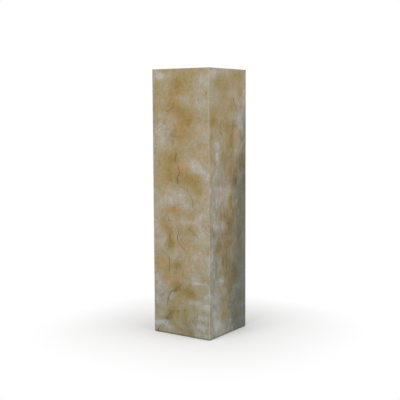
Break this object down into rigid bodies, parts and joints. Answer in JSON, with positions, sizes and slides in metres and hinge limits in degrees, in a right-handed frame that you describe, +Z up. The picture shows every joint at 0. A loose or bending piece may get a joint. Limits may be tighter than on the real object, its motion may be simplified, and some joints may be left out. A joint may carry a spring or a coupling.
{
  "type": "pedestal column stand",
  "caption": "Tall square display column faced with thin mottled natural stone over a hollow mitred core, on hidden levelling feet that screw out of its base board.",
  "frame": {"origin": "on the floor, under the middle of the column", "axes": "+Z up; the front, which is the picture's left face, faces -Y, and the picture's right face faces +X"},
  "size_m": [0.255, 0.255, 1],
  "materials": {
    "stone_facing": "satin",
    "panel_board": "matte",
    "birch_ply": "matte",
    "pine": "matte",
    "zinc_steel": "satin",
    "sole_rubber": "matte"
  },
  "bodies": {
    "column": {"front_stone": "stone_facing", "right_stone": "stone_facing", "back_stone": "stone_facing", "left_stone": "stone_facing", "top_stone": "stone_facing", "front_panel": "panel_board", "right_panel": "panel_board", "back_panel": "panel_board", "left_panel": "panel_board", "base_board": "birch_ply", "top_board": "birch_ply", "lower_stiffener": "birch_ply", "upper_stiffener": "birch_ply", "corner_batten_front_left": "pine", "corner_batten_front_right": "pine", "corner_batten_back_right": "pine", "corner_batten_back_left": "pine", "mitre_spline_front_left": "birch_ply", "mitre_spline_front_right": "birch_ply", "mitre_spline_back_right": "birch_ply", "mitre_spline_back_left": "birch_ply", "base_screws": "zinc_steel", "top_screws": "zinc_steel", "threaded_inserts": "zinc_steel"},
    "foot_front_left": {"foot_base_front_left": "zinc_steel", "foot_sole_front_left": "sole_rubber"},
    "stud_front_left": {"foot_stud_front_left": "zinc_steel"},
    "foot_front_right": {"foot_base_front_right": "zinc_steel", "foot_sole_front_right": "sole_rubber"},
    "stud_front_right": {"foot_stud_front_right": "zinc_steel"},
    "foot_back_right": {"foot_base_back_right": "zinc_steel", "foot_sole_back_right": "sole_rubber"},
    "stud_back_right": {"foot_stud_back_right": "zinc_steel"},
    "foot_back_left": {"foot_base_back_left": "zinc_steel", "foot_sole_back_left": "sole_rubber"},
    "stud_back_left": {"foot_stud_back_left": "zinc_steel"}
  },
  "joints": [
    {"name": "foot_front_left_height", "type": "slide", "parent": "column", "child": "foot_front_left", "axis": [0, 0, -1], "range_m": [0, 0.012]},
    {"name": "stud_front_left_turn", "type": "hinge", "parent": "foot_front_left", "child": "stud_front_left", "pos_m": [-0.082, -0.082, 0.02], "axis": [0, 0, -1], "range_deg": [0, 3456]},
    {"name": "foot_front_right_height", "type": "slide", "parent": "column", "child": "foot_front_right", "axis": [0, 0, -1], "range_m": [0, 0.012]},
    {"name": "stud_front_right_turn", "type": "hinge", "parent": "foot_front_right", "child": "stud_front_right", "pos_m": [0.082, -0.082, 0.02], "axis": [0, 0, -1], "range_deg": [0, 3456]},
    {"name": "foot_back_right_height", "type": "slide", "parent": "column", "child": "foot_back_right", "axis": [0, 0, -1], "range_m": [0, 0.012]},
    {"name": "stud_back_right_turn", "type": "hinge", "parent": "foot_back_right", "child": "stud_back_right", "pos_m": [0.082, 0.082, 0.02], "axis": [0, 0, -1], "range_deg": [0, 3456]},
    {"name": "foot_back_left_height", "type": "slide", "parent": "column", "child": "foot_back_left", "axis": [0, 0, -1], "range_m": [0, 0.012]},
    {"name": "stud_back_left_turn", "type": "hinge", "parent": "foot_back_left", "child": "stud_back_left", "pos_m": [-0.082, 0.082, 0.02], "axis": [0, 0, -1], "range_deg": [0, 3456]}
  ],
  "couplings": [
    {"joint": "stud_front_left_turn", "follows": "foot_front_left_height", "rad_per_m": 5026.5},
    {"joint": "stud_front_right_turn", "follows": "foot_front_right_height", "rad_per_m": 5026.5},
    {"joint": "stud_back_right_turn", "follows": "foot_back_right_height", "rad_per_m": 5026.5},
    {"joint": "stud_back_left_turn", "follows": "foot_back_left_height", "rad_per_m": 5026.5}
  ]
}
